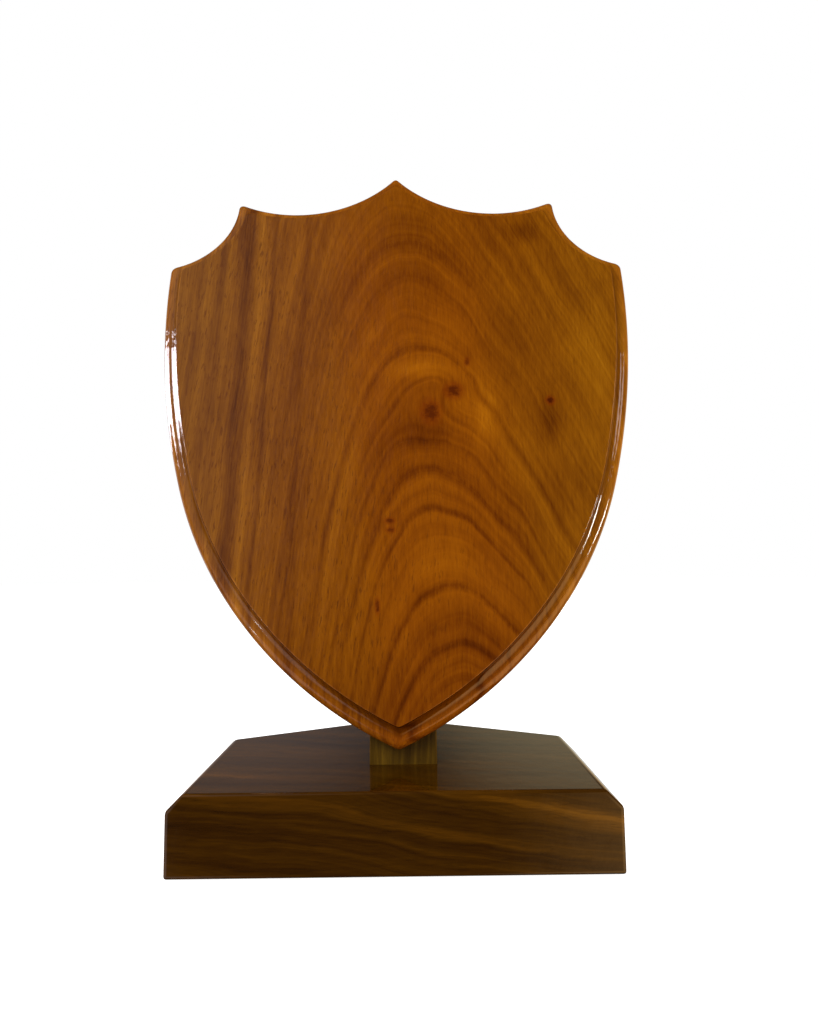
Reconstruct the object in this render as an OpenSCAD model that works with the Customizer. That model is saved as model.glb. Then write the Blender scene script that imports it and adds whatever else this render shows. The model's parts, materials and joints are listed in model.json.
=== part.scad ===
// Free-standing wooden award shield: an ogee-edged shield panel on a leaning post and a chamfered base.
// Millimetres, +Z up, front towards -Y, X = 0 on the shield's centreline, underside of the pads on Z = 0.

/* [Shield] */
// Width of the shield at its widest point
shield_w = 202.5; // [190:0.5:215]
// Height of the shield from the bottom tip to the top peak
shield_h = 254.5; // [251:0.5:260]
// Thickness of the shield board
shield_t = 12; // [11:0.5:15]
// Lean of the shield away from the viewer, in degrees
lean = 14; // [8:1:18]
// Clearance between the tip and the base, along the shield
tip_gap = 4.8; // [2:0.1:10]
// Half the distance between the two points that flank the centre peak
ear_x = 72.8; // [70:0.1:78]
// Height of those two points above the tip
ear_h = 240.5; // [238:0.5:244]
// Height of the outer top corners above the tip
corner_h = 205; // [203:0.5:210]
// Height of the widest point above the tip
waist_h = 191.5; // [187:0.5:197]
// Radius of the flank's curve
flank_r = 322; // [310:1:345]
// Radius of the wide hollows beside the centre peak
wide_hollow_r = 60; // [57:0.5:70]
// Radius of the small hollows at the outer corners
small_hollow_r = 35.5; // [33:0.5:42]

/* [Ogee edge] */
// Width of the moulded edge
ogee_w = 6.8; // [5:0.1:8]
// Height of the small step under the arris
ogee_step = 0.9; // [0.4:0.1:1.2]
// Radius of the hollow part of the moulding
cove_r = 3.6; // [2.5:0.1:4]

/* [Base] */
// Width of the base
base_w = 146; // [130:1:170]
// Height of the base block
base_h = 26; // [24:0.5:32]
// Depth of the base along its straight sides
base_side_d = 71; // [65:1:80]
// Depth of the base to the point at its back
base_point_d = 112; // [100:1:125]
// Chamfer along the long top edges at the two sides
base_chamfer = 5.5; // [3:0.5:8]
// Sideways position of the base against the shield's centreline
base_shift = -1.2; // [-3:0.1:3]

/* [Post] */
// Width of the post
post_w = 24.5; // [22:0.5:30]
// Thickness of the post
post_t = 19; // [17:0.5:22]
// Height of the post above the base, along the post
post_h = 165; // [155:1:180]
// Distance of the post's face behind the front of the base, at the base's top
post_setback = 32.2; // [28:0.1:36]
// Sideways position of the post against the shield's centreline
post_shift = 1.5; // [-3:0.1:3]
// Depth of the housing in the base that takes the post's foot
housing_d = 7; // [5:0.5:9]
// Bevel across the top back edge of the post
post_bevel = 6; // [3:0.5:9]

/* [Screws] */
// Diameter of the screws' shanks and threads
screw_d = 4.2; // [3.6:0.1:5]
// Diameter of the countersunk heads
head_d = 8.2; // [7.5:0.1:9]
// Height of the countersunk heads
head_h = 2.4; // [2:0.1:3]
// Pitch of the screws' threads
thread_pitch = 1.6; // [1.4:0.1:2.2]
// Length of the screws that go through the post into the shield
shield_screw_l = 25; // [24:0.5:27]
// Height of the lower shield screw above the base, along the post
lower_screw_h = 62; // [50:1:75]
// Height of the upper shield screw above the base, along the post
upper_screw_h = 138; // [120:1:145]
// Length of the screws that go through the base into the post
base_screw_l = 38; // [32:1:42]
// Distance between the two base screws
base_screw_gap = 12; // [10:0.5:14]
// Distance of the base screws behind the middle of the post's thickness
base_screw_back = 2; // [0:0.5:4]

/* [Felt pads] */
// Diameter of the felt pads
pad_d = 14; // [10:1:20]
// Thickness of the felt pads
pad_t = 1.5; // [1:0.1:3]
// How far the pads stand out of the base
pad_proud = 0.4; // [0.2:0.1:0.8]
// Distance of the pads' centres from the base's front and side faces
pad_inset = 13; // [11:0.5:20]

/* [Hidden] */
$fn = 180;

cut = 2;          // how far cutting shapes run past the surfaces that they cut
slack = 0.05;     // glue line round the post's foot, the screws and the pads

top_z = pad_proud + base_h;
front_y = -base_point_d / 2;
post_y = front_y + post_setback;
side_y = front_y + base_side_d;
point_y = front_y + base_point_d;
foot_run = 3 * housing_d;           // how far the post's bar runs below the base's top, uncut
bevel_s = post_bevel * sqrt(2);     // side of the square bar that cuts the post's bevel

// Centre of an arc of radius r through points p and q, on the left when walking from p to q
function arc_centre(p, q, r) =
    let (d = q - p, l = norm(d))
    (p + q) / 2 + [-d[1], d[0]] / l * sqrt(r * r - l * l / 4);

peak = [0, shield_h];
ear = [ear_x, ear_h];
flank_c = [shield_w / 2 - flank_r, waist_h];
corner = flank_c + [sqrt(pow(flank_r, 2) - pow(corner_h - waist_h, 2)), corner_h - waist_h];
wide_c = arc_centre(peak, ear, wide_hollow_r);
small_c = arc_centre(ear, corner, small_hollow_r);

// The flank hands over to the tip's curve where its outward normal is this one, a 7-24-25 direction
// that keeps both centres at round coordinates. The tip's curve runs through [0, 0], to 0.05 mm.
blend_n = [0.96, -0.28];
blend_a = atan2(blend_n[1], blend_n[0]);
blend = flank_c + flank_r * blend_n;
tip_r = round(10 * (blend * blend) / (2 * blend * blend_n)) / 10;
tip_c = blend - tip_r * blend_n;
flank_sweep = 25; // how far the edge cutters turn from the blend, in degrees
tip_sweep = 60;

bead_r = ogee_w - cove_r;
cove_h = shield_t - ogee_step;
bead_h = cove_h - ogee_w;

core_share = 0.7;   // of the screws' diameter, left inside their threads
point_l = 4;        // length of the screws' points
recess_l = 5;       // each bar of the cross recess in a screw's head: its length, width and depth
recess_w = 1;
recess_d = 1.5;

pad_x = base_w / 2 - pad_inset;
pad_spots = [[-pad_x, front_y + pad_inset], [pad_x, front_y + pad_inset],
             [-pad_x, side_y - pad_inset / 2], [pad_x, side_y - pad_inset / 2]];

// Places its children in the shield's own plane: X across, Y up from the base's top, Z forwards
// from the shield's back
module in_shield_plane() {
    translate([0, post_y, top_z])
        rotate([90 - lean, 0, 0])
            children();
}

module both_sides() {
    children();
    mirror([1, 0, 0]) children();
}

module shield_outline() {
    difference() {
        union() {
            intersection() {
                translate(flank_c) circle(flank_r);
                mirror([1, 0, 0]) translate(flank_c) circle(flank_r);
                translate([-shield_w, blend[1]]) square([2 * shield_w, shield_h - blend[1] + cut]);
            }
            intersection() {
                translate(tip_c) circle(tip_r);
                mirror([1, 0, 0]) translate(tip_c) circle(tip_r);
                translate([-shield_w, -cut]) square([2 * shield_w, blend[1] + cut]);
            }
        }
        both_sides() {
            translate(wide_c) circle(wide_hollow_r);
            translate(small_c) circle(small_hollow_r);
        }
    }
}

// What the moulding cutter takes away: X is the distance in from the outline, Y the height above
// the shield's back
module ogee_cut() {
    difference() {
        union() {
            translate([-cut, bead_h]) square([bead_r + cut, shield_t + cut - bead_h]);
            translate([-cut, cove_h]) square([ogee_w + cut, shield_t + cut - cove_h]);
            translate([bead_r, cove_h]) circle(cove_r);
        }
        translate([bead_r, bead_h]) circle(bead_r);
    }
}

module hollow_cut(centre, radius) {
    translate(centre)
        rotate_extrude()
            translate([radius, 0]) ogee_cut();
}

module edge_cut(radius, sweep) {
    rotate_extrude(angle = sweep)
        translate([radius, 0]) mirror([1, 0]) ogee_cut();
}

// A countersunk wood screw that points along +Z, with the face of its head on Z = 0
module wood_screw(length) {
    core_r = core_share * screw_d / 2;
    plain_l = length / 3;
    turns = floor((length - point_l - plain_l) / thread_pitch);
    threads = [for (i = [0 : turns - 1])
        let (z = plain_l + i * thread_pitch)
        each [[core_r, z + 0.2 * thread_pitch], [screw_d / 2, z + 0.6 * thread_pitch],
              [core_r, z + thread_pitch]]];
    difference() {
        rotate_extrude()
            polygon(concat([[0, 0], [head_d / 2, 0], [screw_d / 2, head_h], [screw_d / 2, plain_l]],
                           threads, [[core_r, length - point_l], [0, length]]));
        for (a = [0, 90])
            rotate([0, 0, a])
                translate([-recess_l / 2, -recess_w / 2, -cut]) cube([recess_l, recess_w, recess_d + cut]);
    }
}

// The hole for one of those screws, with its countersink
module screw_hole(length) {
    shank_r = screw_d / 2 + slack;
    head_r = head_d / 2 + slack;
    cylinder(h = length, r = shank_r);
    cylinder(h = head_h, r1 = head_r, r2 = shank_r);
    translate([0, 0, -cut]) cylinder(h = cut, r = head_r);
}

module at_shield_screws() {
    in_shield_plane()
        for (y = [lower_screw_h, upper_screw_h])
            translate([post_shift, y, -post_t]) children();
}

module at_base_screws() {
    for (x = [-0.5, 0.5] * base_screw_gap)
        translate([post_shift + x, post_y + post_t / 2 + base_screw_back, pad_proud]) children();
}

// The post's bar before its foot is cut, with an optional allowance all round
module post_bar(grow = 0) {
    in_shield_plane()
        translate([post_shift - post_w / 2 - grow, -foot_run, -post_t - grow])
            cube([post_w + 2 * grow, foot_run + post_h, post_t + 2 * grow]);
}

// Everything above a level plane at height z
module above(z) {
    translate([-base_w, -base_point_d, z]) cube([2 * base_w, 2 * base_point_d, shield_h]);
}

module shield_panel() {
    color("peru")
        difference() {
            in_shield_plane()
                translate([0, tip_gap, 0])
                    difference() {
                        linear_extrude(shield_t) shield_outline();
                        both_sides() {
                            hollow_cut(wide_c, wide_hollow_r);
                            hollow_cut(small_c, small_hollow_r);
                            translate(flank_c)
                                rotate([0, 0, blend_a])
                                    edge_cut(flank_r, flank_sweep);
                            translate(tip_c)
                                rotate([0, 0, blend_a])
                                    mirror([0, 1, 0]) edge_cut(tip_r, tip_sweep);
                        }
                    }
            at_shield_screws() screw_hole(shield_screw_l);
        }
}

module support_post() {
    color("olivedrab")
        difference() {
            intersection() {
                post_bar();
                above(top_z - housing_d);
            }
            in_shield_plane()
                translate([post_shift, post_h, -post_t])
                    rotate([45, 0, 0])
                        cube([post_w + 2 * cut, bevel_s, bevel_s], center = true);
            at_shield_screws() screw_hole(shield_screw_l);
            at_base_screws() screw_hole(base_screw_l);
        }
}

module base_block() {
    color("saddlebrown")
        difference() {
            translate([base_shift, 0, pad_proud])
                intersection() {
                    linear_extrude(base_h)
                        polygon([[-base_w / 2, front_y], [base_w / 2, front_y], [base_w / 2, side_y],
                                 [0, point_y], [-base_w / 2, side_y]]);
                    translate([0, point_y + cut, 0])
                        rotate([90, 0, 0])
                            linear_extrude(base_point_d + 2 * cut)
                                polygon([[-base_w / 2, 0], [base_w / 2, 0],
                                         [base_w / 2, base_h - base_chamfer],
                                         [base_w / 2 - base_chamfer, base_h],
                                         [base_chamfer - base_w / 2, base_h],
                                         [-base_w / 2, base_h - base_chamfer]]);
                }
            intersection() {
                post_bar(slack);
                above(top_z - housing_d - slack);
            }
            at_base_screws() screw_hole(base_screw_l);
            at_pads() cylinder(h = pad_t - pad_proud, d = pad_d + 2 * slack);
        }
}

module at_pads() {
    for (p = pad_spots)
        translate([base_shift + p[0], p[1], pad_proud]) children();
}

module shield_screws() {
    color("silver") at_shield_screws() wood_screw(shield_screw_l - slack);
}

module base_screws() {
    color("silver") at_base_screws() wood_screw(base_screw_l - slack);
}

module felt_pads() {
    color("darkgreen")
        at_pads() translate([0, 0, -pad_proud]) cylinder(h = pad_t, d = pad_d);
}

shield_panel();
support_post();
base_block();
shield_screws();
base_screws();
felt_pads();
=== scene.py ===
import json
import math

import bmesh
import bpy
from mathutils import Matrix, Vector


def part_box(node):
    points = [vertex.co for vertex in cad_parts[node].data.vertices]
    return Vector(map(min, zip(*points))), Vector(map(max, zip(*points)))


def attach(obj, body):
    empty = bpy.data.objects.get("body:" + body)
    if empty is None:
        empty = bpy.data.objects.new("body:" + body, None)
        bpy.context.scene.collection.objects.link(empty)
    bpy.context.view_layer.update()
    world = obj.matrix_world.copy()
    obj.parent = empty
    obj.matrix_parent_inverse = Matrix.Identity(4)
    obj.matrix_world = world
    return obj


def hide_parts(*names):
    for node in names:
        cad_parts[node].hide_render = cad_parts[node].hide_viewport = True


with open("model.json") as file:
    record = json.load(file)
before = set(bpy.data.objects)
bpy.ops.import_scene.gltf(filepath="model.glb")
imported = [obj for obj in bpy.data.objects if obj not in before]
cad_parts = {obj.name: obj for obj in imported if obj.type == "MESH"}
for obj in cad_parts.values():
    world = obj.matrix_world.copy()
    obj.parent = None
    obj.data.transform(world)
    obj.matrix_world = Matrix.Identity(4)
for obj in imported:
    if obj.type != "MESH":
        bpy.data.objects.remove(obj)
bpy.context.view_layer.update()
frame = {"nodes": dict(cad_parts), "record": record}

MM = 0.001
scene = bpy.context.scene


# ---- Camera ----------------------------------------------------------------------------------

LONG_SIDE = 1024          # of the picture, which the sensor's width spans
FOCAL = 740               # in the same unit as LONG_SIDE
CENTRE_DROP = 25          # how far the optical axis lies above the picture's centre
SENSOR = 36.0             # mm
CAMERA_AT = (0.00357, -0.29953, 0.0989)
PITCH, YAW, ROLL = math.radians(5.81), math.radians(0.244), math.radians(-0.612)


def make_camera():
    data = bpy.data.cameras.new("camera")
    data.sensor_fit = "AUTO"
    data.sensor_width = SENSOR
    data.lens = SENSOR * FOCAL / LONG_SIDE
    data.shift_y = -CENTRE_DROP / LONG_SIDE
    data.clip_start = 0.01
    data.clip_end = 50.0
    camera = bpy.data.objects.new("camera", data)
    scene.collection.objects.link(camera)
    forward = Vector((math.sin(YAW) * math.cos(PITCH), math.cos(YAW) * math.cos(PITCH), math.sin(PITCH)))
    level = Vector((math.cos(YAW), -math.sin(YAW), 0.0))
    over = level.cross(forward)
    right = math.cos(ROLL) * level + math.sin(ROLL) * over
    up = math.cos(ROLL) * over - math.sin(ROLL) * level
    turn = Matrix((right, up, -forward)).transposed().to_4x4()
    camera.matrix_world = Matrix.Translation(CAMERA_AT) @ turn
    scene.camera = camera


make_camera()


# ---- Places, from the frame ------------------------------------------------------------------

record = frame["record"]
plate_face = next(m for m in record["mounts"] if m["name"] == "plate_face")
facing = Vector(plate_face["axis"]).normalized()
face_point = Vector(plate_face["pos_m"])
shield_low, shield_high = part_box("shield_panel")
base_low, base_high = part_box("base_block")
post_low, post_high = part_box("support_post")
pads_low, pads_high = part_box("felt_pads")

SHIELD_T = 12.0           # mm, as every size below
TIP_GAP = 4.8             # from the base's top to the shield's tip, along the shield
top_z = base_high.z
# Where the shield's back plane meets the base's top
plane_y = face_point.y - (SHIELD_T * MM + (top_z - face_point.z) * facing.z) / facing.y
LEAN = math.asin(facing.z)
# The shield's own frame: X across, Y up along the shield, Z forwards from the shield's back
shield_frame = Matrix.Translation((0, plane_y, top_z)) @ Matrix.Rotation(math.pi / 2 - LEAN, 4, "X")


# ---- Mesh helpers ----------------------------------------------------------------------------

def new_object(name, mesh, place=None):
    """A new object whose mesh is in the row frame; place is the mesh's own frame, if it has one."""
    if place is not None:
        mesh.transform(place)
    piece = bpy.data.objects.new(name, mesh)
    scene.collection.objects.link(piece)
    return piece


def mesh_from(name, points, faces, wear_and_painted_light=None):
    """A smooth-shaded mesh from points in mm; the last argument gives each point's edge tint: rubbed wear,
    and on the shield's moulding also painted highlight and painted shade.
    """
    mesh = bpy.data.meshes.new(name)
    mesh.from_pydata([(x * MM, y * MM, z * MM) for x, y, z in points], [], faces)
    mesh.shade_smooth()
    if wear_and_painted_light is not None:
        mesh.attributes.new("wear_and_painted_light", "FLOAT", "POINT").data.foreach_set("value", wear_and_painted_light)
    mesh.update()
    return mesh


def applied(piece):
    """The piece with its modifiers made part of its mesh."""
    depsgraph = bpy.context.evaluated_depsgraph_get()
    mesh = bpy.data.meshes.new_from_object(piece.evaluated_get(depsgraph))
    piece.modifiers.clear()
    piece.data = mesh
    return piece


def lathe(profile, steps, offset=0):
    """Points and faces of a closed profile of (radius, height) pairs turned about Z.
    The first and the last point of the profile lie on the axis."""
    points = [(0.0, 0.0, profile[0][1])]
    for radius, height in profile[1:-1]:
        for i in range(steps):
            a = 2 * math.pi * i / steps
            points.append((radius * math.cos(a), radius * math.sin(a), height))
    points.append((0.0, 0.0, profile[-1][1]))
    rows = len(profile) - 2
    last = len(points) - 1
    faces = [(0, 1 + (i + 1) % steps, 1 + i) for i in range(steps)]
    for r in range(rows - 1):
        a, b = 1 + r * steps, 1 + (r + 1) * steps
        faces += [(a + i, a + (i + 1) % steps, b + (i + 1) % steps, b + i) for i in range(steps)]
    a = 1 + (rows - 1) * steps
    faces += [(a + i, a + (i + 1) % steps, last) for i in range(steps)]
    return points, [tuple(offset + k for k in f) for f in faces]


# ---- The shield ------------------------------------------------------------------------------

SHIELD_H = 254.5
EAR = Vector((72.8, 240.5))
CORNER_H, WAIST_H = 205.0, 191.5
FLANK_R, WIDE_R, SMALL_R = 322.0, 60.0, 35.5
BLEND_NORMAL = Vector((0.96, -0.28))      # where the flank hands over to the tip's curve
OGEE_W, OGEE_STEP, COVE_R = 6.8, 0.9, 3.6
BEAD_R = OGEE_W - COVE_R
COVE_H = SHIELD_T - OGEE_STEP
BEAD_H = COVE_H - OGEE_W
# How far back from each point of the outline its rounding starts
TIP_ROUND, CORNER_ROUND, EAR_ROUND, PEAK_ROUND = 1.2, 2.6, 3.4, 2.0
BACK_ROUND, ARRIS_ROUND = 0.5, 0.3


def arc_centre(p, q, radius):
    """Centre of an arc through p and q, on the left when walking from p to q."""
    d = q - p
    return (p + q) / 2 + Vector((-d.y, d.x)) / d.length * math.sqrt(radius**2 - d.length_squared / 4)


flank_c = Vector(((shield_high.x - shield_low.x) / 2 / MM - FLANK_R, WAIST_H))
corner = flank_c + Vector((math.sqrt(FLANK_R**2 - (CORNER_H - WAIST_H) ** 2), CORNER_H - WAIST_H))
wide_c = arc_centre(Vector((0, SHIELD_H)), EAR, WIDE_R)
small_c = arc_centre(EAR, corner, SMALL_R)
blend = flank_c + FLANK_R * BLEND_NORMAL
TIP_R = blend.length_squared / (2 * blend.dot(BLEND_NORMAL))
tip_c = blend - TIP_R * BLEND_NORMAL


def crossing(c1, r1, c2, r2, near):
    """Where two circles cross, on the side that is nearest to a point."""
    d = c2 - c1
    along = (r1**2 - r2**2 + d.length_squared) / (2 * d.length)
    aside = math.sqrt(max(r1**2 - along**2, 0))
    e = d.normalized()
    middle = c1 + along * e
    both = [middle + aside * Vector((-e.y, e.x)), middle - aside * Vector((-e.y, e.x))]
    return min(both, key=lambda p: (p - near).length)


def on_centreline(centre, radius, side):
    """Where a circle crosses X = 0, above its centre for side 1 and below it for side -1."""
    return Vector((0, centre.y + side * math.sqrt(radius**2 - centre.x**2)))


def arc(centre, p, q, trim_p, trim_q, count):
    """Points along the short arc from p to q, left out by a length at each end."""
    a = math.atan2(p.y - centre.y, p.x - centre.x)
    b = math.atan2(q.y - centre.y, q.x - centre.x)
    turn = (b - a + math.pi) % (2 * math.pi) - math.pi
    radius = (p - centre).length
    way = math.copysign(1 / radius, turn)
    a, b = a + trim_p * way, a + turn - trim_q * way
    angles = [a + (b - a) * i / (count - 1) for i in range(count)]
    return [centre + radius * Vector((math.cos(t), math.sin(t))) for t in angles]


def rounded(p, tip, q, count):
    """Points between p and q on a curve that is pulled towards tip, without its ends."""
    steps = [i / (count + 1) for i in range(1, count + 1)]
    return [p * (1 - t) ** 2 + tip * 2 * t * (1 - t) + q * t**2 for t in steps]


def outline(inset):
    """The shield's outline, anticlockwise from the tip, moved in by a distance."""
    tip = on_centreline(tip_c, TIP_R - inset, -1)
    joint = blend - inset * BLEND_NORMAL
    corner_in = crossing(flank_c, FLANK_R - inset, small_c, SMALL_R + inset, corner)
    ear_in = crossing(small_c, SMALL_R + inset, wide_c, WIDE_R + inset, EAR)
    peak = on_centreline(wide_c, WIDE_R + inset, -1)
    lower = arc(tip_c, tip, joint, TIP_ROUND, 0, 100)
    flank = arc(flank_c, joint, corner_in, 0, CORNER_ROUND, 76)[1:]
    small = arc(small_c, corner_in, ear_in, CORNER_ROUND, EAR_ROUND, 36)
    wide = arc(wide_c, ear_in, peak, EAR_ROUND, PEAK_ROUND, 60)
    half = lower + flank + rounded(flank[-1], corner_in, small[0], 7)
    half += small + rounded(small[-1], ear_in, wide[0], 7) + wide
    other = [Vector((-p.x, p.y)) for p in reversed(half)]
    top = rounded(half[-1], peak, other[0], 7)
    bottom = rounded(other[-1], tip, half[0], 7)
    return half + top + other + bottom


def quarter(count):
    """Angles through a quarter of a turn, both ends included."""
    return [math.pi / 2 * i / count for i in range(count + 1)]


def edge_profile():
    """(distance in from the outline, height above the back, edge tint) up the moulded edge.
    The edge tint is near 1 where the edge is lighter: rubbed wear, and on the bead also painted highlight;
    it is near -1 in the cove and under the arris, which is painted shade."""
    b, a = BACK_ROUND, ARRIS_ROUND
    rows = [(3.0, 0.0, 0), (1.0, 0.0, 0)]
    rows += [(b - b * math.sin(t), b - b * math.cos(t), math.sin(2 * t)) for t in quarter(4)]
    rows += [(0.0, 0.9, 0), (0.0, 2.4, 0.1), (0.0, BEAD_H - 0.4, 0.3)]
    # The bead: rubbed wear, plus painted highlight that lightens the bead
    rows += [(BEAD_R - BEAD_R * math.cos(t), BEAD_H + BEAD_R * math.sin(t), 0.55 + 0.4 * math.sin(2 * t))
             for t in quarter(12)]
    # The cove and the row under the arris: negative values, which paint shade into the cove
    rows += [(BEAD_R + COVE_R * math.sin(t), COVE_H - COVE_R * math.cos(t), 0.55 - 1.5 * math.sin(t))
             for t in quarter(14)[1:]]
    rows += [(OGEE_W, SHIELD_T - a - 0.1, -0.6)]
    rows += [(OGEE_W + a - a * math.cos(t), SHIELD_T - a + a * math.sin(t), math.sin(2 * t))
             for t in quarter(4)]
    rows += [(OGEE_W + a + 0.5, SHIELD_T, 0), (OGEE_W + 3.0, SHIELD_T, 0)]
    return rows


def shield_mesh():
    """The board: rings of points from the middle of its back, round its edge, to the middle of its face."""
    points, wear_and_painted_light, rings = [], [], []
    middle = Vector((0, SHIELD_H / 2))

    def add_ring(ring, height, ring_wear_and_painted_light):
        rings.append(range(len(points), len(points) + len(ring)))
        points.extend((p.x, p.y + TIP_GAP, height) for p in ring)
        wear_and_painted_light.extend([ring_wear_and_painted_light] * len(ring))

    rows = edge_profile()
    inner = [0.12, 0.3, 0.48, 0.66, 0.82, 0.93]     # shares of the way from the middle to the edge
    back, front = outline(rows[0][0]), outline(rows[-1][0])
    for share in inner:
        add_ring([middle.lerp(p, share) for p in back], 0.0, 0)
    for inset, height, ring_wear_and_painted_light in rows:
        add_ring(outline(inset), height, ring_wear_and_painted_light)
    for share in reversed(inner):
        add_ring([middle.lerp(p, share) for p in front], SHIELD_T, 0)
    n = len(rings[0])
    faces = []
    for low, high in zip(rings, rings[1:]):
        faces += [(low[i], low[(i + 1) % n], high[(i + 1) % n], high[i]) for i in range(n)]
    for ring, height in ((rings[0], 0.0), (rings[-1], SHIELD_T)):
        hub = len(points)
        points.append((middle.x, middle.y + TIP_GAP, height))
        wear_and_painted_light.append(0)
        ends = [(hub, ring[(i + 1) % n], ring[i]) for i in range(n)]
        faces += ends if height == 0.0 else [f[::-1] for f in ends]
    return mesh_from("shield", points, faces, wear_and_painted_light)


# ---- Blocks with eased edges, and the holes in them ------------------------------------------

def prism(name, outline_points, axis_from, axis_to, place):
    """A closed prism: outline_points are (a, b) pairs, and place(a, b, c) gives the corner."""
    n = len(outline_points)
    points = [place(a, b, c) for c in (axis_from, axis_to) for a, b in outline_points]
    faces = [tuple(range(n))[::-1], tuple(range(n, 2 * n))]
    faces += [(i, (i + 1) % n, n + (i + 1) % n, n + i) for i in range(n)]
    return mesh_from(name, points, faces)


def outward(mesh):
    """Turns every face's front outwards."""
    work = bmesh.new()
    work.from_mesh(mesh)
    bmesh.ops.recalc_face_normals(work, faces=work.faces)
    work.to_mesh(mesh)
    work.free()


def ease_edges(mesh, width, segments=4):
    """Rounds every edge, keeps the flats flat, and marks the roundings' middles as worn."""
    work = bmesh.new()
    work.from_mesh(mesh)
    bmesh.ops.recalc_face_normals(work, faces=work.faces)
    flats = [(f.calc_center_median(), f.normal.copy()) for f in work.faces]
    bmesh.ops.bevel(work, geom=work.edges[:], offset=width * MM, offset_type="OFFSET",
                    segments=segments, profile=0.5, affect="EDGES", clamp_overlap=True)
    wear_and_painted_light = work.verts.layers.float.new("wear_and_painted_light")
    for v in work.verts:
        flat = any(abs((v.co - middle).dot(normal)) < 1e-6 for middle, normal in flats)
        v[wear_and_painted_light] = 0.0 if flat else 1.0
    for f in work.faces:
        f.smooth = True
    sharp = [f for f in work.faces if any(f.normal.dot(n) > 0.99999 for _, n in flats)]
    bmesh.ops.inset_individual(work, faces=sharp, thickness=0.4 * MM, use_even_offset=True)
    work.to_mesh(mesh)
    work.free()


def cut_away(piece, cutters):
    """Cuts the cutters out of the piece, and removes them."""
    for cutter in cutters:
        step = piece.modifiers.new("cut", "BOOLEAN")
        step.operation = "DIFFERENCE"
        step.solver = "EXACT"
        step.object = cutter
    bpy.context.view_layer.update()
    applied(piece)
    for cutter in cutters:
        bpy.data.objects.remove(cutter)
    piece.data.shade_smooth()
    piece.data.set_sharp_from_angle(angle=math.radians(40))


SCREW_D, HEAD_D, HEAD_H = 4.2, 8.2, 2.4
HOLE_SLACK, HEAD_CLEAR = 0.05, 2.0        # round a screw or the post's foot, and past a screw's head
SHIELD_SCREW_L, BASE_SCREW_L = 25.0, 38.0
POST_W, POST_T, POST_H, POST_BEVEL, HOUSING_D = 24.5, 19.0, 165.0, 6.0, 7.0
SCREW_HEIGHTS = (62.0, 138.0)             # of the shield's screws, along the post
BASE_SCREW_GAP, SCREW_BACK = 12.0, 2.0
PAD_D, PAD_T, PAD_INSET = 14.0, 1.5, 13.0
BASE_SIDE_D, BASE_CHAMFER = 71.0, 5.5
POST_EASE, BASE_EASE = 0.6, 0.9           # radius of the eased edges
post_x = (post_low.x + post_high.x) / 2 / MM
base_x = (base_low.x + base_high.x) / 2 / MM


def screw_cutter(length, place):
    """The hole for a countersunk screw that points along +Z from the face of its head."""
    shank, head = SCREW_D / 2 + HOLE_SLACK, HEAD_D / 2 + HOLE_SLACK
    profile = [(0, -HEAD_CLEAR), (head, -HEAD_CLEAR), (head, 0.0), (shank, HEAD_H), (shank, length),
               (0, length)]
    points, faces = lathe(profile, 48)
    mesh = mesh_from("cutter", points, faces)
    outward(mesh)
    return new_object("cutter", mesh, place)


def shield_screw_places():
    return [shield_frame @ Matrix.Translation((post_x * MM, y * MM, -POST_T * MM)) for y in SCREW_HEIGHTS]


def base_screw_places():
    y = plane_y + (POST_T / 2 + SCREW_BACK) * MM
    across = (-BASE_SCREW_GAP / 2, BASE_SCREW_GAP / 2)
    return [Matrix.Translation(((post_x + x) * MM, y, base_low.z)) for x in across]


def post_outline(grow=0.0):
    """(y, z) corners of the post in the shield's frame, down to the level bottom of its housing."""
    foot = (HOUSING_D + grow) / math.cos(LEAN)
    fall = math.tan(LEAN)
    front, back = grow, -POST_T - grow
    return [(-foot - front * fall, front), (POST_H, front), (POST_H, back + POST_BEVEL),
            (POST_H - POST_BEVEL, back), (-foot - back * fall, back)]


def make_post():
    half = POST_W / 2
    mesh = prism("post", post_outline(), post_x - half, post_x + half, lambda y, z, x: (x, y, z))
    ease_edges(mesh, POST_EASE)
    piece = new_object("post", mesh, shield_frame)
    cutters = [screw_cutter(SHIELD_SCREW_L, p) for p in shield_screw_places()]
    cutters += [screw_cutter(BASE_SCREW_L, p) for p in base_screw_places()]
    cut_away(piece, cutters)
    return piece


def make_base():
    low, high = base_low / MM, base_high / MM
    half = (high.x - low.x) / 2
    side_y = low.y + BASE_SIDE_D
    plan = [(-half, low.y), (half, low.y), (half, side_y), (0, high.y), (-half, side_y)]
    mesh = prism("base", plan, low.z, high.z, lambda x, y, z: (base_x + x, y, z))
    work = bmesh.new()
    work.from_mesh(mesh)
    for side in (-1, 1):
        # The long chamfer at each side is cut by a plane at 45 degrees
        edge = Vector(((base_x + side * (half - BASE_CHAMFER)) * MM, 0, high.z * MM))
        found = bmesh.ops.bisect_plane(work, geom=work.verts[:] + work.edges[:] + work.faces[:],
                                       plane_co=edge, plane_no=(side, 0, 1), clear_outer=True)
        rim = [g for g in found["geom_cut"] if isinstance(g, bmesh.types.BMEdge)]
        bmesh.ops.edgeloop_fill(work, edges=rim)
    work.to_mesh(mesh)
    work.free()
    ease_edges(mesh, BASE_EASE)
    piece = new_object("base", mesh)
    grow = HOLE_SLACK
    housing = prism("housing", post_outline(grow), post_x - POST_W / 2 - grow, post_x + POST_W / 2 + grow,
                    lambda y, z, x: (x, y, z))
    outward(housing)
    cutters = [new_object("cutter", housing, shield_frame)]
    cutters += [screw_cutter(BASE_SCREW_L, p) for p in base_screw_places()]
    cut_away(piece, cutters)
    return piece


def pad_spots():
    """Centres of the felt pads, in mm."""
    reach = (base_high.x - base_low.x) / 2 / MM - PAD_INSET
    front, back = pads_low.y / MM + PAD_D / 2, pads_high.y / MM - PAD_D / 2
    return [(base_x + side * reach, y) for y in (front, back) for side in (-1, 1)]


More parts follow.
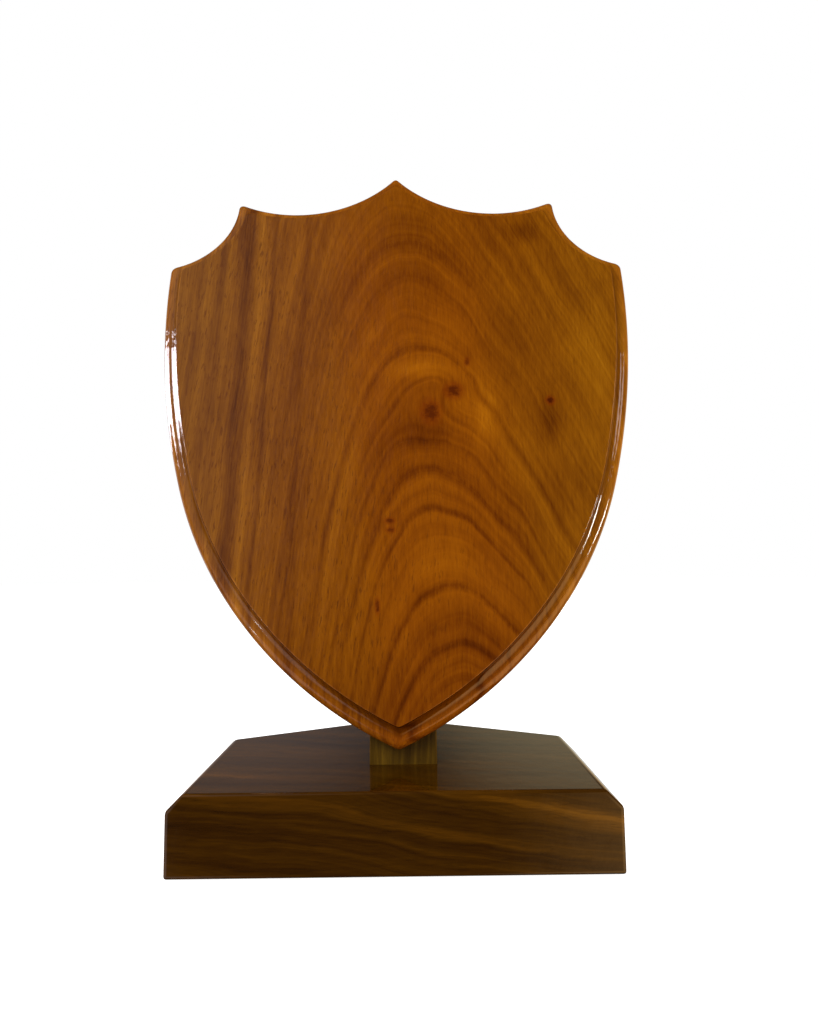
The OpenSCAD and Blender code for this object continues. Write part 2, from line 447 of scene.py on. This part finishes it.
def make_pads():
    """Felt discs with soft lower edges and a slightly uneven nap."""
    soft, r = 0.4, PAD_D / 2
    profile = [(0.0, 0.0), (r * 0.5, 0.0), (r - soft * 1.6, 0.0)]
    profile += [(r - soft + soft * math.sin(t), soft - soft * math.cos(t)) for t in quarter(4)]
    profile += [(r, PAD_T - 0.1), (r - 0.1, PAD_T), (0.0, PAD_T)]
    points, faces = [], []
    for k, (x, y) in enumerate(pad_spots()):
        disc, disc_faces = lathe(profile, 64, offset=len(points))
        for i, (px, py, pz) in enumerate(disc):
            nap = 0.05 * math.sin(7.3 * px + k) * math.sin(6.1 * py + 2 * k)
            reach = math.hypot(px, py)
            shrink = 1 - abs(nap) / max(reach, 1.0) if reach > r - soft else 1
            points.append((x + px * shrink, y + py * shrink, pz))
        faces += disc_faces
    return new_object("felt", mesh_from("felt", points, faces))


# ---- Materials -------------------------------------------------------------------------------

def linear(*colour):
    """Linear colour from 0 to 255 display values."""
    shares = [c / 255 for c in colour]
    return tuple(s / 12.92 if s <= 0.04 else ((s + 0.055) / 1.055) ** 2.4 for s in shares) + (1.0,)


class Graph:
    """A node tree, with one short method for each kind of node that the finishes need."""

    def __init__(self, tree):
        self.tree = tree

    def put(self, value, socket):
        """Links or sets an input, whether the value is another node's output or a constant."""
        if isinstance(value, bpy.types.NodeSocket):
            self.tree.links.new(value, socket)
        else:
            socket.default_value = value

    def node(self, kind, **settings):
        made = self.tree.nodes.new(kind)
        for name, value in settings.items():
            setattr(made, name, value)
        return made

    def math(self, operation, a, b=0.0, c=0.0, clamp=False):
        made = self.node("ShaderNodeMath", operation=operation, use_clamp=clamp)
        for value, socket in zip((a, b, c), made.inputs):
            self.put(value, socket)
        return made.outputs[0]

    def add(self, a, b):
        return self.math("ADD", a, b)

    def mul(self, a, b):
        return self.math("MULTIPLY", a, b)

    def mad(self, a, b, c):
        return self.math("MULTIPLY_ADD", a, b, c)

    def vector(self, x, y, z):
        made = self.node("ShaderNodeCombineXYZ")
        for value, socket in zip((x, y, z), made.inputs):
            self.put(value, socket)
        return made.outputs[0]

    def place(self, own_frame=Matrix.Identity(4)):
        """The point on the piece, in mm in the piece's own frame: its x, y and z."""
        mapping = self.node("ShaderNodeMapping", vector_type="TEXTURE")
        self.put(self.node("ShaderNodeTexCoord").outputs["Object"], mapping.inputs["Vector"])
        mapping.inputs["Location"].default_value = own_frame.translation
        mapping.inputs["Rotation"].default_value = own_frame.to_euler()
        mapping.inputs["Scale"].default_value = (MM, MM, MM)
        return self.node_outputs("ShaderNodeSeparateXYZ", mapping.outputs[0])

    def node_outputs(self, kind, value):
        made = self.node(kind)
        self.put(value, made.inputs[0])
        return made.outputs[0], made.outputs[1], made.outputs[2]

    def noise(self, x, y, z, detail=2.0, roughness=0.5):
        """Noise from 0 to 1, with a mean of a half."""
        made = self.node("ShaderNodeTexNoise")
        self.put(self.vector(x, y, z), made.inputs["Vector"])
        self.put(1.0, made.inputs["Scale"])
        self.put(detail, made.inputs["Detail"])
        self.put(roughness, made.inputs["Roughness"])
        return made.outputs["Fac"]

    def smooth(self, value, low, high, start=0.0, end=1.0):
        """Goes smoothly from start to end as the value goes from low to high."""
        made = self.node("ShaderNodeMapRange", interpolation_type="SMOOTHSTEP")
        for v, name in ((value, "Value"), (low, "From Min"), (high, "From Max"),
                        (start, "To Min"), (end, "To Max")):
            self.put(v, made.inputs[name])
        return made.outputs[0]

    def hill(self, value, centre, width):
        """1 at the centre, and 0 further than about two widths from it."""
        off = self.mul(self.add(value, -centre), 1 / width)
        return self.math("EXPONENT", self.mul(self.mul(off, off), -1.0))

    def mound(self, x, y, at, size):
        """1 at a point of the plane, and 0 further than about two sizes from it."""
        dx = self.mul(self.add(x, -at[0]), 1 / size[0])
        dy = self.mul(self.add(y, -at[1]), 1 / size[1])
        return self.math("EXPONENT", self.mul(self.mad(dx, dx, self.mul(dy, dy)), -1.0))

    def mix(self, share, a, b, blend="MIX"):
        """A share of colour b blended over colour a. Inputs 6 and 7 are the node's two colours."""
        made = self.node("ShaderNodeMix", data_type="RGBA", blend_type=blend, clamp_factor=True)
        self.put(share, made.inputs[0])
        self.put(a, made.inputs[6])
        self.put(b, made.inputs[7])
        return made.outputs[2]

    def ramp(self, value, stops):
        """The colour at a value, from (position, colour) stops."""
        made = self.node("ShaderNodeValToRGB")
        items = made.color_ramp.elements
        for position, _ in stops[2:]:
            items.new(position)
        for item, (position, _) in zip(items, stops):
            item.position = position
        for item, (_, colour) in zip(items, stops):
            item.color = colour
        self.put(value, made.inputs[0])
        return made.outputs[0]

    def bump(self, height, distance, strength=1.0):
        """A surface normal; distance is in metres."""
        made = self.node("ShaderNodeBump")
        self.put(strength, made.inputs["Strength"])
        self.put(distance, made.inputs["Distance"])
        self.put(height, made.inputs["Height"])
        return made.outputs[0]


def new_material(name):
    """A material, the graph that builds it, and its shader node."""
    material = bpy.data.materials.new(name)
    material.use_nodes = True
    graph = Graph(material.node_tree)
    return material, graph, material.node_tree.nodes["Principled BSDF"]


RUBBED_AND_LIT_TINT = (1.9, 2.0, 5.0, 1)          # times the wood's colour, where the edge is lighter: rubbed stain, and on the shield's bead painted highlight
COVE_SHADE_TINT = (0.5, 0.42, 0.4, 1)         # times the wood's colour: painted shade in the shield's cove
PORE_DEPTH = 0.00006                      # m


def lacquer(graph, shader, where, colour, relief, roughness, coat, coat_roughness, peel, edge_lightening):
    """Clear lacquer over wood: where is the point in mm, relief the height of the grain, peel the
    unevenness of the film in mm, and the last argument how far the edges lighten: rubbed wear, and on the
    shield's bead painted highlight."""
    x, y, z = where
    wear_and_painted_light = graph.node("ShaderNodeAttribute", attribute_name="wear_and_painted_light").outputs["Fac"]
    uneven = graph.noise(graph.mul(x, 0.11), graph.mul(y, 0.11), graph.mul(z, 0.11), 3.0)
    # Lighter edges: rubbed wear, and painted highlight on the shield's bead
    rubbed_and_lit = graph.mul(wear_and_painted_light, graph.smooth(uneven, 0.3, 0.7, 0.45 * edge_lightening, 0.85 * edge_lightening))
    # Negative values darken the colour: painted shade in the shield's cove
    painted_cove_shade = graph.math("MULTIPLY", wear_and_painted_light, -0.75, clamp=True)
    colour = graph.mix(rubbed_and_lit, colour, graph.mix(1.0, colour, RUBBED_AND_LIT_TINT, "MULTIPLY"))
    colour = graph.mix(painted_cove_shade, colour, graph.mix(1.0, colour, COVE_SHADE_TINT, "MULTIPLY"))
    graph.put(colour, shader.inputs["Base Color"])
    patchy = graph.noise(graph.mul(x, 0.05), graph.mul(y, 0.05), graph.mul(z, 0.05), 3.0)
    graph.put(graph.mad(patchy, 0.14, roughness - 0.07), shader.inputs["Roughness"])
    graph.put(graph.bump(relief, PORE_DEPTH, 0.6), shader.inputs["Normal"])
    ripple = graph.noise(graph.mul(x, 0.16), graph.mul(y, 0.16), graph.mul(z, 0.16), 1.0)
    fine = graph.noise(graph.mul(x, 0.8), graph.mul(y, 0.45), graph.mul(z, 0.8), 1.0)
    surface = graph.mad(fine, 0.25, ripple)
    film = graph.mad(relief, 0.06, surface)
    graph.put(graph.bump(film, 4 * peel * MM), shader.inputs["Coat Normal"])
    shader.inputs["Specular IOR Level"].default_value = 0.0
    shader.inputs["Coat Weight"].default_value = coat
    shader.inputs["Coat Roughness"].default_value = coat_roughness
    shader.inputs["Coat IOR"].default_value = 1.5


# The shield's figure: cathedral arches, each told apart by the height of its crown in mm
FIGURE_FOOT = 4.0                         # height above the base's top from which these heights are taken
CROWN_AXIS = (25.0, -0.1)                 # sideways place of the crowns at height 0, and its drift
CROWN_R = 12.0                            # radius of the crowns
RIGHT_STEEPNESS = 4.0                     # of the right legs, far out; the left legs are parabolas
# Dark arches: height of the crown, width of the line at the crown, how dark it is
DARK_ARCHES = ((215.0, 2.4, 0.5), (196.0, 1.6, 0.25), (161.0, 1.7, 0.6), (139.0, 1.8, 0.35),
               (124.0, 2.0, 0.3), (107.5, 2.2, 0.6), (89.0, 1.5, 0.6), (76.0, 1.2, 0.2), (58.5, 1.9, 0.8),
               (44.0, 1.4, 0.3), (37.0, 1.6, 0.5), (24.0, 2.0, 0.4))
# Streaks up the quartered wood at the left: sideways place, width, how dark (light if negative)
DARK_STREAKS = ((-66.0, 3.2, 0.8), (-60.0, 1.8, -0.5), (-54.5, 1.1, 0.5), (-86.0, 2.0, 0.25),
                (-76.0, 1.6, 0.3), (-40.0, 1.6, 0.3))
LINE_DARKNESS = -0.44                     # change of tone of a fully dark line
# Lighter and darker places in the wood, and painted shade at the tip by the base (the last one): place and
# size in mm, change of tone
PATCHES_AND_TIP_SHADE = (((12.0, 151.0), (15.0, 4.5), 0.26), ((35.0, 132.0), (5.0, 17.0), 0.26),
           ((11.0, 122.0), (9.0, 8.0), -0.24), ((-12.0, 168.0), (5.0, 7.0), 0.12),
           ((62.0, 126.0), (5.0, 8.0), -0.3), ((56.0, 219.0), (7.0, 6.0), -0.3),
           ((64.0, 100.0), (6.0, 12.0), -0.18), ((84.0, 150.0), (8.0, 40.0), 0.12),
           ((12.0, 70.0), (16.0, 9.0), 0.12), ((-40.0, 100.0), (14.0, 60.0), -0.06),
           # Painted shade: the tip darkens towards the base
           ((0.0, 8.0), (60.0, 32.0), -0.14))
KNOT_REACH = 2.4                          # how far a knot bends the arches, in its own sizes
# Knots: place and size in mm, how far they push the arches, how dark they are
KNOTS = (((13.8, 130.5), (4.4, 5.8), 7.0, 0.75),
         ((23.4, 140.0), (4.2, 4.0), 6.0, 0.8),
         ((-3.0, 84.2), (2.2, 1.5), 2.0, 0.7),
         ((-2.6, 80.6), (2.0, 1.4), 1.0, 0.7),
         ((62.9, 135.3), (2.0, 2.2), 3.0, 0.95),
         ((29.4, 153.4), (1.3, 2.4), 2.0, 0.6),
         ((-7.6, 51.2), (1.0, 3.4), 1.0, 0.75))


def crown_height(g, x, v, sway, ripple):
    """Height of the crown of the arch that runs through a point, and how far the point lies below it."""
    line = g.mad(v, CROWN_AXIS[1], CROWN_AXIS[0])
    across = g.add(g.mad(sway, 8.0, g.math("SUBTRACT", x, line)), g.mul(ripple, 3.0))
    squared = g.mul(across, across)
    left = g.mul(squared, 0.5 / CROWN_R)
    flat = RIGHT_STEEPNESS**2 * CROWN_R
    right = g.add(g.math("SQRT", g.mad(squared, RIGHT_STEEPNESS**2, flat**2)), -flat)
    share = g.smooth(across, -6.0, 6.0)
    drop = g.mad(share, g.math("SUBTRACT", right, left), left)
    return g.add(v, drop), drop


def shield_material():
    material, g, shader = new_material("shield_lacquered_wood")
    x, y, z = g.place(shield_frame)
    v = g.add(y, -FIGURE_FOOT)
    depth = g.math("SUBTRACT", SHIELD_T, z)
    sway = g.add(g.noise(g.mul(x, 0.016), g.mul(v, 0.008), g.mul(z, 0.02), 2.0), -0.5)
    ripple = g.add(g.noise(g.mul(x, 0.06), g.mul(v, 0.03), g.mul(z, 0.06), 2.0), -0.5)
    crown, drop = crown_height(g, x, v, sway, ripple)
    crown = g.mad(ripple, 7.0, g.mad(depth, 3.0, crown))
    for at, size, push, _ in KNOTS:
        near = g.mound(x, v, at, (size[0] * KNOT_REACH, size[1] * KNOT_REACH))
        below = g.mul(g.add(v, -at[1]), -push / size[1])
        crown = g.add(crown, g.mul(below, near))

    # Streaks that follow the arches
    lines = g.noise(g.mul(crown, 0.2), g.mul(v, 0.012), g.mul(z, 0.1), 3.0, 0.6)
    bands = g.noise(g.mul(crown, 0.045), g.mul(v, 0.006), 3.7, 2.0, 0.5)
    cloud = g.noise(g.mul(x, 0.03), g.mul(v, 0.02), 9.1, 3.0, 0.6)
    fuzz = g.noise(g.mul(x, 1.3), g.mul(v, 0.14), g.mul(z, 1.3), 3.0, 0.65)
    tone = g.mad(g.add(lines, -0.5), 0.6, 0.52)
    tone = g.mad(g.add(bands, -0.5), 0.6, tone)
    tone = g.mad(g.add(cloud, -0.5), 0.45, tone)
    tone = g.mad(g.add(fuzz, -0.5), 0.5, tone)
    speckle = g.noise(g.mul(x, 0.8), g.mul(v, 0.3), 7.0, 3.0, 0.65)
    clumps = g.noise(g.mul(x, 0.05), g.mul(v, 0.05), 7.0, 2.0)
    patchy = g.smooth(g.mad(speckle, 0.7, clumps), 0.6, 1.0, 0.2, 1.15)
    patchy = g.mul(patchy, g.smooth(drop, 0.0, 90.0, 1.0, 0.45))
    narrow = g.math("DIVIDE", 1.0, g.mad(drop, 0.01, 1.0))
    for at, width, dark in DARK_ARCHES:
        line = g.hill(g.mul(g.add(crown, -at), narrow), 0.0, width)
        tone = g.mad(g.mul(line, patchy), LINE_DARKNESS * dark, tone)
    bent = g.mad(ripple, 3.0, g.mad(sway, 9.0, x))
    for at, width, dark in DARK_STREAKS:
        tone = g.mad(g.hill(bent, at, width), LINE_DARKNESS * dark, tone)
    for at, size, change in PATCHES_AND_TIP_SHADE:
        tone = g.mad(g.mound(g.mad(ripple, 12.0, x), g.mad(sway, 16.0, v), at, size), change, tone)
    colour = g.ramp(tone, [(0.05, linear(84, 36, 1)), (0.28, linear(111, 55, 2)), (0.52, linear(134, 72, 3)),
                           (0.75, linear(153, 87, 5)), (1.0, linear(176, 106, 10))])

    # Redder heart in the arches, greyer sapwood at the left, yellower wood at the right
    heart = g.mul(g.smooth(drop, 60.0, 5.0), g.smooth(v, 250.0, 170.0))
    colour = g.mix(g.mul(heart, 0.45), colour, g.mix(1.0, colour, (1.06, 0.84, 0.7, 1), "MULTIPLY"))
    left = g.smooth(g.mad(sway, 30.0, x), -5.0, -98.0)
    grey = g.mix(1.0, colour, (0.8388, 1.0822, 4.094, 1), "MULTIPLY")
    colour = g.mix(left, colour, g.mix(0.75, colour, grey))
    right = g.smooth(g.mad(sway, 20.0, x), 30.0, 90.0)
    colour = g.mix(right, colour, g.mix(1.0, colour, (0.99, 1.14, 1.7, 1), "MULTIPLY"))

    # Knots, each with a redder edge
    warp = g.noise(g.mul(x, 0.5), g.mul(v, 0.5), 5.0, 3.0, 0.65)
    for at, size, _, dark in KNOTS:
        mound = g.mul(g.mound(x, v, at, size), g.mad(warp, 1.5, 0.25))
        colour = g.mix(g.mul(g.smooth(mound, 0.08, 0.6), 0.7 * dark), colour, linear(122, 48, 2))
        colour = g.mix(g.mul(g.smooth(mound, 0.45, 1.0), dark), colour, linear(72, 22, 2))

    # Open pores, as short dark dashes along the fibres
    fibre = g.mad(v, -0.1, x)
    pore = g.noise(g.mul(fibre, 1.5), g.mul(v, 0.2), g.mul(z, 1.4), 2.0, 0.6)
    crowd = g.noise(g.mul(x, 0.03), g.mul(v, 0.02), 2.3, 2.0)
    dash = g.smooth(g.mad(crowd, 0.16, pore), 0.66, 0.78)
    where = g.smooth(g.mad(v, 0.35, x), 75.0, -10.0, 0.2, 0.75)
    colour = g.mix(g.mul(dash, where), colour, linear(92, 44, 3))
    relief = g.mul(dash, -1.0)
    lacquer(g, shader, (x, y, z), colour, relief, 0.38, 1.0, 0.06, 0.03, 1.0)
    return material


def base_material():
    material, g, shader = new_material("base_lacquered_wood")
    x, y, z = g.place()
    sway = g.add(g.noise(g.mul(x, 0.012), g.mul(y, 0.02), g.mul(z, 0.03), 2.0), -0.5)
    ripple = g.add(g.noise(g.mul(x, 0.03), g.mul(y, 0.08), g.mul(z, 0.1), 2.0), -0.5)
    layer = g.mad(x, 0.15, g.mad(y, 0.8, z))
    layer = g.add(g.mad(sway, 16.0, layer), g.mul(ripple, 5.0))
    fine = g.noise(g.mul(layer, 0.6), g.mul(x, 0.012), g.mul(y, 0.05), 4.0, 0.6)
    broad = g.noise(g.mul(layer, 0.13), g.mul(x, 0.004), 6.2, 3.0, 0.5)
    fuzz = g.noise(g.mul(x, 0.12), g.mul(y, 1.4), g.mul(z, 1.4), 3.0, 0.6)
    tone = g.mad(g.add(fine, -0.5), 0.8, 0.45)
    tone = g.mad(g.add(broad, -0.5), 1.3, tone)
    tone = g.mad(g.add(fuzz, -0.5), 0.4, tone)
    amber = g.mul(g.hill(g.mad(x, 0.18, z), 28.5, 3.2), g.smooth(x, 10.0, 60.0))
    tone = g.mad(amber, 0.4, tone)
    colour = g.ramp(tone, [(0.05, linear(38, 18, 1)), (0.3, linear(53, 28, 2)), (0.5, linear(66, 38, 2)),
                           (0.72, linear(82, 48, 3)), (1.0, linear(116, 71, 8))])
    dash = g.smooth(g.noise(g.mul(x, 0.16), g.mul(y, 1.1), g.mul(z, 1.1), 2.0, 0.6), 0.62, 0.72)
    colour = g.mix(g.mul(dash, 0.22), colour, linear(34, 16, 1))
    relief = g.mul(dash, -1.0)
    lacquer(g, shader, (x, y, z), colour, relief, 0.36, 1.0, 0.03, 0.008, 0.2)
    return material


def post_material():
    material, g, shader = new_material("post_lacquered_wood")
    x, y, z = g.place(shield_frame)
    sway = g.add(g.noise(g.mul(x, 0.05), g.mul(y, 0.012), g.mul(z, 0.05), 2.0), -0.5)
    layer = g.mad(z, 0.55, g.mad(sway, 9.0, x))
    fine = g.noise(g.mul(layer, 0.9), g.mul(y, 0.015), 1.4, 4.0, 0.6)
    broad = g.noise(g.mul(layer, 0.24), g.mul(y, 0.006), 4.4, 2.0)
    fuzz = g.noise(g.mul(x, 1.5), g.mul(y, 0.14), g.mul(z, 1.5), 3.0, 0.6)
    tone = g.mad(g.add(fine, -0.5), 0.9, 0.5)
    tone = g.mad(g.add(broad, -0.5), 1.0, tone)
    tone = g.mad(g.add(fuzz, -0.5), 0.4, tone)
    colour = g.ramp(tone, [(0.1, linear(54, 34, 2)), (0.5, linear(80, 56, 3)), (0.9, linear(110, 80, 8))])
    dash = g.smooth(g.noise(g.mul(x, 1.1), g.mul(y, 0.15), g.mul(z, 1.1), 2.0, 0.6), 0.62, 0.72)
    colour = g.mix(g.mul(dash, 0.5), colour, linear(48, 28, 2))
    relief = g.mul(dash, -1.0)
    lacquer(g, shader, (x, y, z), colour, relief, 0.45, 0.3, 0.3, 0.01, 0.2)
    return material


def steel_material():
    material, g, shader = new_material("screw_zinc")
    x, y, z = g.place()
    spots = g.noise(g.mul(x, 0.9), g.mul(y, 0.9), g.mul(z, 0.9), 4.0, 0.6)
    lines = g.noise(g.mul(x, 6.0), g.mul(y, 6.0), g.mul(z, 1.0), 2.0)
    colour = g.ramp(spots, [(0.3, (0.42, 0.42, 0.40, 1)), (0.7, (0.66, 0.65, 0.62, 1))])
    g.put(colour, shader.inputs["Base Color"])
    g.put(g.mad(spots, 0.22, 0.2), shader.inputs["Roughness"])
    g.put(g.bump(lines, 0.00002, 0.5), shader.inputs["Normal"])
    shader.inputs["Metallic"].default_value = 1.0
    return material


def felt_material():
    material, g, shader = new_material("pad_felt")
    x, y, z = g.place()
    hairs = g.noise(g.mul(x, 4.0), g.mul(y, 4.0), g.mul(z, 4.0), 5.0, 0.7)
    clumps = g.noise(g.mul(x, 0.7), g.mul(y, 0.7), g.mul(z, 0.7), 3.0)
    tone = g.mad(clumps, 0.4, g.mul(hairs, 0.6))
    colour = g.ramp(tone, [(0.3, (0.012, 0.022, 0.013, 1)), (0.7, (0.045, 0.075, 0.045, 1))])
    g.put(colour, shader.inputs["Base Color"])
    g.put(g.mad(hairs, 0.1, 0.88), shader.inputs["Roughness"])
    g.put(g.bump(hairs, 0.0002, 0.8), shader.inputs["Normal"])
    shader.inputs["Sheen Weight"].default_value = 0.4
    return material


# ---- The pieces ------------------------------------------------------------------------------

def fit_out(piece, node, material):
    """Gives a piece its finish, and has it stand for its CAD node and ride with the body."""
    piece.data.materials.clear()
    piece.data.materials.append(material)
    if piece is not frame["nodes"][node]:
        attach(piece, "root")
        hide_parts(node)


shield = new_object("shield", shield_mesh(), shield_frame)
fit_out(shield, "shield_panel", shield_material())
fit_out(make_post(), "support_post", post_material())
fit_out(make_base(), "base_block", base_material())
fit_out(make_pads(), "felt_pads", felt_material())
steel = steel_material()
for screws in ("shield_screws", "base_screws"):
    fit_out(frame["nodes"][screws], screws, steel)


# ---- Floor, light and surroundings -----------------------------------------------------------

FLOOR_R, FLOOR_T = 4000.0, 10.0
FLOOR_GLOW = 0.9                          # keeps it as pale as the surroundings behind it


def make_floor():
    """A pale round floor, with its upper face at Z = 0."""
    profile = [(0.0, 0.0), (300.0, 0.0), (FLOOR_R, 0.0), (FLOOR_R, -FLOOR_T), (0.0, -FLOOR_T)]
    points, faces = lathe(profile, 96)
    floor = new_object("floor", mesh_from("floor", points, faces))
    outward(floor.data)
    floor.data.set_sharp_from_angle(angle=math.radians(30))
    material, g, shader = new_material("floor_pale")
    x, y, z = g.place()
    cloud = g.noise(g.mul(x, 0.004), g.mul(y, 0.004), z, 3.0)
    colour = g.ramp(cloud, [(0.3, (0.86, 0.86, 0.86, 1)), (0.7, (0.9, 0.9, 0.895, 1))])
    g.put(colour, shader.inputs["Base Color"])
    shader.inputs["Roughness"].default_value = 0.9
    shader.inputs["Specular IOR Level"].default_value = 0.0
    shader.inputs["Emission Color"].default_value = (1.0, 1.0, 1.0, 1)
    shader.inputs["Emission Strength"].default_value = FLOOR_GLOW
    floor.data.materials.append(material)
    # Bounced light and reflections from below come from the surroundings instead of the floor
    floor.visible_glossy = False
    floor.visible_diffuse = False


def area_light(name, at, target, size, power, colour=(1, 1, 1), shown=("diffuse",), roll=0.0, only=None):
    """A rectangular light; only is the one piece that it lights, if it doesn't light them all."""
    data = bpy.data.lights.new(name, "AREA")
    data.shape = "RECTANGLE"
    data.size, data.size_y = size
    data.energy = power
    data.color = colour
    light = bpy.data.objects.new(name, data)
    scene.collection.objects.link(light)
    light.location = at
    aim = (Vector(target) - Vector(at)).to_track_quat("-Z", "Y").to_matrix()
    light.rotation_euler = (aim @ Matrix.Rotation(math.radians(roll), 3, "Z")).to_euler()
    light.visible_camera = False
    light.visible_diffuse = "diffuse" in shown
    light.visible_glossy = "glossy" in shown
    if only is not None:
        lit = bpy.data.collections.new(name + "_lights")
        lit.objects.link(only)
        light.light_linking.receiver_collection = lit


# What the lacquer mirrors: direction, how far it reaches (cosines, from none to full), colour
SEEN_IN_GLOSS = (((-0.62, -0.55, 0.56), (0.75, 1.0), (0.35, 0.34, 0.36)),
                 ((0.7, -0.6, -0.35), (0.75, 0.97), (2.2, 1.3, 0.5)),
                 ((-0.7, -0.6, -0.35), (0.85, 0.98), (1.0, 0.8, 0.7)),
                 ((0.77, 0.64, 0.0), (0.8, 0.97), (1.0, 0.62, 0.26)),
                 ((-0.77, 0.64, 0.0), (0.8, 0.97), (0.9, 0.72, 0.64)),
                 ((0.0, 0.75, -0.66), (0.7, 0.95), (0.7, 0.68, 0.65)),
                 ((-0.26, 0.96, 0.09), (0.94, 0.998), (0.17, 0.14, 0.13)),
                 ((0.28, 0.96, 0.07), (0.94, 0.995), (0.38, 0.33, 0.2)))


def make_world():
    """White to the camera, a soft sky to the wood, and a dark room with bright parts to the lacquer."""
    world = bpy.data.worlds.new("studio")
    scene.world = world
    world.use_nodes = True
    g = Graph(world.node_tree)
    background = world.node_tree.nodes["Background"]
    ray = g.node("ShaderNodeLightPath")
    towards = g.node("ShaderNodeTexCoord").outputs["Generated"]
    x, y, z = g.node_outputs("ShaderNodeSeparateXYZ", towards)
    mirrored = (0.02, 0.02, 0.02, 1)
    for axis, (low, high), colour in SEEN_IN_GLOSS:
        unit = Vector(axis).normalized()
        facing_it = g.mad(x, unit.x, g.mad(y, unit.y, g.mul(z, unit.z)))
        glow = g.mix(g.smooth(facing_it, low, high), (0, 0, 0, 1), (*colour, 1))
        mirrored = g.mix(1.0, mirrored, glow, "ADD")
    ambient = g.ramp(g.smooth(z, -0.6, 0.9), [(0.0, (0.24, 0.23, 0.22, 1)), (0.6, (0.98, 0.98, 0.98, 1)),
                                              (1.0, (0.35, 0.35, 0.35, 1))])
    colour = g.mix(ray.outputs["Is Glossy Ray"], ambient, mirrored)
    colour = g.mix(ray.outputs["Is Camera Ray"], colour, (1, 1, 1, 1))
    g.put(colour, background.inputs["Color"])
    world.cycles.sampling_method = "NONE"     # so that each kind of ray sees the colour meant for it


make_floor()
make_world()

WHITE, WARM, DAYLIGHT = (1, 1, 1), (1.0, 0.97, 0.9), (0.93, 0.9, 1.0)
GLOSS = ("glossy",)
TILT = 15.0               # of the window's reflections, in degrees

area_light("key", (-0.7, -1.1, 1.3), (0, 0, 0.12), (1.1, 1.1), 14.0)
area_light("back", (0.6, 1.4, 0.4), (0, 0, 0.13), (0.9, 0.6), 9.0)
area_light("fill_right", (1.0, -0.3, 0.12), (0.08, 0, 0.1), (0.5, 0.2), 3.2, (1.0, 0.82, 0.5))
area_light("fill_left", (-1.0, -0.3, 0.12), (-0.08, 0, 0.1), (0.5, 0.2), 2.4, (1.0, 0.85, 0.75))
# These show only as reflections in the shield's lacquer
area_light("window", (-1.5, 0.0, 0.74), (0, 0, 0.15), (2.1, 0.32), 46.0, DAYLIGHT, GLOSS, TILT, shield)
area_light("window_front", (-1.27, -0.82, 1.03), (-0.1, 0, 0.15), (0.6, 0.34), 14.0, DAYLIGHT, GLOSS,
           TILT, shield)
area_light("window_right", (1.0, -1.06, 1.06), (0.1, 0, 0.15), (0.4, 0.3), 1.6, WHITE, GLOSS, 0.0, shield)
area_light("lamp", (1.3, -0.6, 0.26), (0.08, 0, 0.1), (0.5, 0.11), 6.5, WARM, GLOSS, 0.0, shield)
area_light("glint", (-0.25, -0.2, 0.035), (-0.065, -0.02, 0.07), (0.015, 0.015), 0.02, WHITE, GLOSS,
           0.0, shield)

scene.view_settings.view_transform = "Standard"
scene.view_settings.look = "None"
